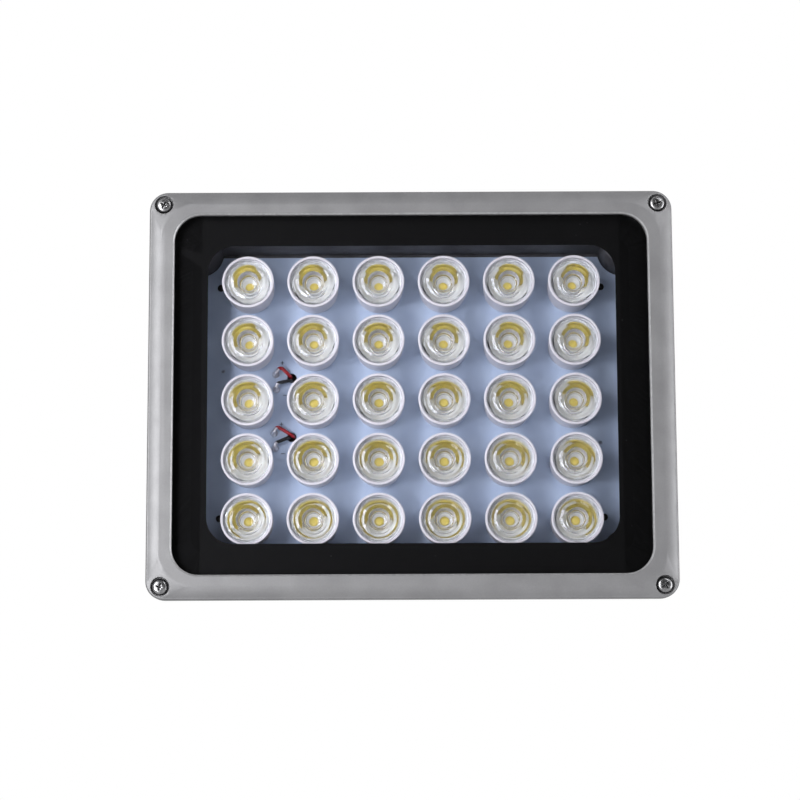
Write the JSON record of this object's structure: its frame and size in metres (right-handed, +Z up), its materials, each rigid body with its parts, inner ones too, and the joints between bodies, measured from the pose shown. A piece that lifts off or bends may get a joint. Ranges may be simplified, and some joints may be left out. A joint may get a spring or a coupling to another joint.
{
  "type": "white light illuminator",
  "caption": "Rectangular white light illuminator: a glass-fronted cast head with an array of lensed LEDs, fins and a rear driver compartment, tilting in a U-shaped wall bracket.",
  "frame": {"origin": "centre of the bracket plate's rear face, on the wall plane", "axes": "+X to the right for a viewer in front of the lamp, +Y into the wall, +Z up; the light leaves towards -Y"},
  "size_m": [0.225, 0.14, 0.1756],
  "materials": {
    "silver_paint": "silver paint on a die casting, satin",
    "bracket_paint": "silver powder coat, satin",
    "steel": "bright",
    "black_steel": "blackened",
    "glass": "clear, polished",
    "black_print": "black ceramic print seen through the glass",
    "gasket_rubber": "matte silicone",
    "board": "white solder mask, satin",
    "thermal_rubber": "matte silicone",
    "phosphor": "silicone with yellow phosphor",
    "white_plastic": "satin moulding",
    "clear_acrylic": "clear, polished",
    "red_insulation": "satin",
    "black_insulation": "satin",
    "brown_insulation": "satin",
    "blue_insulation": "satin",
    "solder": "bright tin",
    "driver_case": "potted, satin",
    "black_nylon": "satin"
  },
  "bodies": {
    "bracket": {"mounting_bracket": "bracket_paint"},
    "lamp_head": {"front_bezel": "silver_paint", "bezel_screws": "steel", "glass_pane": "glass", "black_border": "black_print", "glass_gasket": "gasket_rubber", "rear_housing": "silver_paint", "led_board": "board", "thermal_pad": "thermal_rubber", "board_screws": "black_steel", "led_emitters_row_1": "phosphor", "led_emitters_row_2": "phosphor", "led_emitters_row_3": "phosphor", "led_emitters_row_4": "phosphor", "led_emitters_row_5": "phosphor", "lens_holders_row_1": "white_plastic", "lens_holders_row_2": "white_plastic", "lens_holders_row_3": "white_plastic", "lens_holders_row_4": "white_plastic", "lens_holders_row_5": "white_plastic", "lens_optics_row_1": "clear_acrylic", "lens_optics_row_2": "clear_acrylic", "lens_optics_row_3": "clear_acrylic", "lens_optics_row_4": "clear_acrylic", "lens_optics_row_5": "clear_acrylic", "upper_red_lead": "red_insulation", "upper_black_lead": "black_insulation", "lower_red_lead": "red_insulation", "lower_black_lead": "black_insulation", "solder_joints": "solder", "upper_driver": "driver_case", "lower_driver": "driver_case", "driver_clamp": "steel", "driver_clamp_screws": "steel", "terminal_block": "white_plastic", "live_leads": "brown_insulation", "neutral_leads": "blue_insulation", "rear_cover_gasket": "gasket_rubber", "rear_cover": "silver_paint", "rear_cover_screws": "steel", "gland_washer": "gasket_rubber", "gland_body": "black_nylon", "gland_locknut": "black_nylon", "gland_seal": "gasket_rubber", "gland_cap": "black_nylon", "left_spacer": "black_nylon", "left_flat_washer": "steel", "left_spring_washer": "steel", "left_pivot_bolt": "steel", "right_spacer": "black_nylon", "right_flat_washer": "steel", "right_spring_washer": "steel", "right_pivot_bolt": "steel"}
  },
  "joints": [
    {"name": "head_tilt", "type": "hinge", "parent": "bracket", "child": "lamp_head", "pos_m": [0, -0.102, 0], "axis": [1, 0, 0], "range_deg": [-90, 90]}
  ]
}
